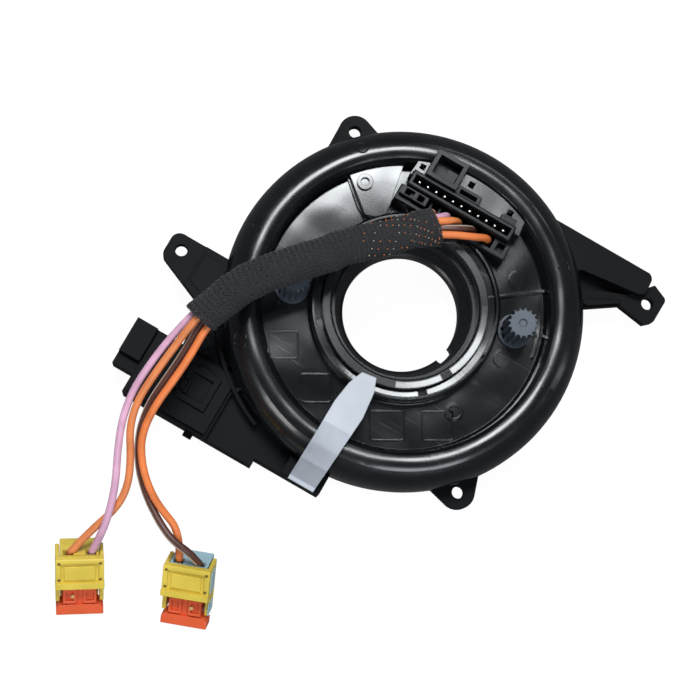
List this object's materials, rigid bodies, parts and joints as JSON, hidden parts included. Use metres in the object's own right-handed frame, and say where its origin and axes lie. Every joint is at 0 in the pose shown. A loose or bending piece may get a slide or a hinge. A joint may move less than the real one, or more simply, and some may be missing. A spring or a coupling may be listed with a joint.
{
  "type": "steering clock spring",
  "caption": "Round steering clock spring: fixed case with ears and terminal block, turning disc with pin header and drive posts, lock strap, and a sleeved harness with airbag plugs.",
  "frame": {"origin": "on the steering axis, in the middle of the narrow land of the central bore, level with the faces that the ears seat on", "axes": "+Z along the steering axis towards the steering wheel, +X along the pin header's row, +Y from the axis to the header"},
  "size_m": [0.1238, 0.1625, 0.0402],
  "materials": {
    "case_black": "moulded black plastic, semi-gloss",
    "disc_black": "moulded black plastic, high gloss on the rim",
    "bore_black": "moulded black plastic, satin",
    "post_grey": "dark blue-grey plastic, satin",
    "header_grey": "dark grey plastic, matt",
    "contact_tin": "tin-plated contacts",
    "lead_block": "dark plastic, matt",
    "cable_film": "laminated film, satin",
    "liner_film": "low-friction film, satin",
    "strap_white": "milky white plastic, semi-gloss",
    "sleeve_black": "woven fibre sleeve",
    "wire_pink": "wire insulation, satin",
    "wire_orange": "wire insulation, satin",
    "wire_orange_traced": "wire insulation with a dark tracer stripe",
    "wire_brown_striped": "wire insulation with a pale stripe",
    "plug_yellow": "yellow plastic, satin",
    "lock_orange": "orange plastic, satin",
    "core_grey": "blue-grey plastic, satin"
  },
  "bodies": {
    "stator": {"stator_case": "case_black", "rear_plate": "case_black", "cable_liner": "liner_film", "side_connector": "case_black", "side_terminals": "contact_tin", "block_cover": "case_black", "outer_lead_block": "lead_block", "flat_cable": "cable_film"},
    "rotor": {"rotor_disc": "disc_black", "bore_sleeve": "bore_black", "retaining_ring": "bore_black", "inner_lead_block": "lead_block", "header_shell": "header_grey", "header_pins": "contact_tin", "header_comb": "header_grey", "drive_post_right": "post_grey", "drive_post_left": "post_grey", "harness_sleeve": "sleeve_black", "wire_pink": "wire_pink", "wire_orange_traced": "wire_orange_traced", "wire_brown_striped": "wire_brown_striped", "wire_orange": "wire_orange", "plug_left_cover": "plug_yellow", "plug_left_core": "plug_yellow", "plug_left_terminals": "contact_tin", "plug_right_cover": "plug_yellow", "plug_right_core": "core_grey", "plug_right_terminals": "contact_tin"},
    "strap": {"lock_strap": "strap_white"},
    "left_plug_lock": {"plug_left_lock": "lock_orange"},
    "right_plug_lock": {"plug_right_lock": "lock_orange"}
  },
  "joints": [
    {"name": "rotor_turn", "type": "hinge", "parent": "stator", "child": "rotor", "pos_m": [0, 0, 0], "axis": [0, 0, 1], "range_deg": [-900, 900]},
    {"name": "strap_lift", "type": "slide", "parent": "rotor", "child": "strap", "axis": [0, 0, 1], "range_m": [0, 0.02]},
    {"name": "left_lock_slide", "type": "slide", "parent": "rotor", "child": "left_plug_lock", "axis": [0.4024, -0.7293, -0.5533], "range_m": [0, 0.0025]},
    {"name": "right_lock_slide", "type": "slide", "parent": "rotor", "child": "right_plug_lock", "axis": [0.3671, -0.7919, -0.488], "range_m": [0, 0.0025]}
  ]
}
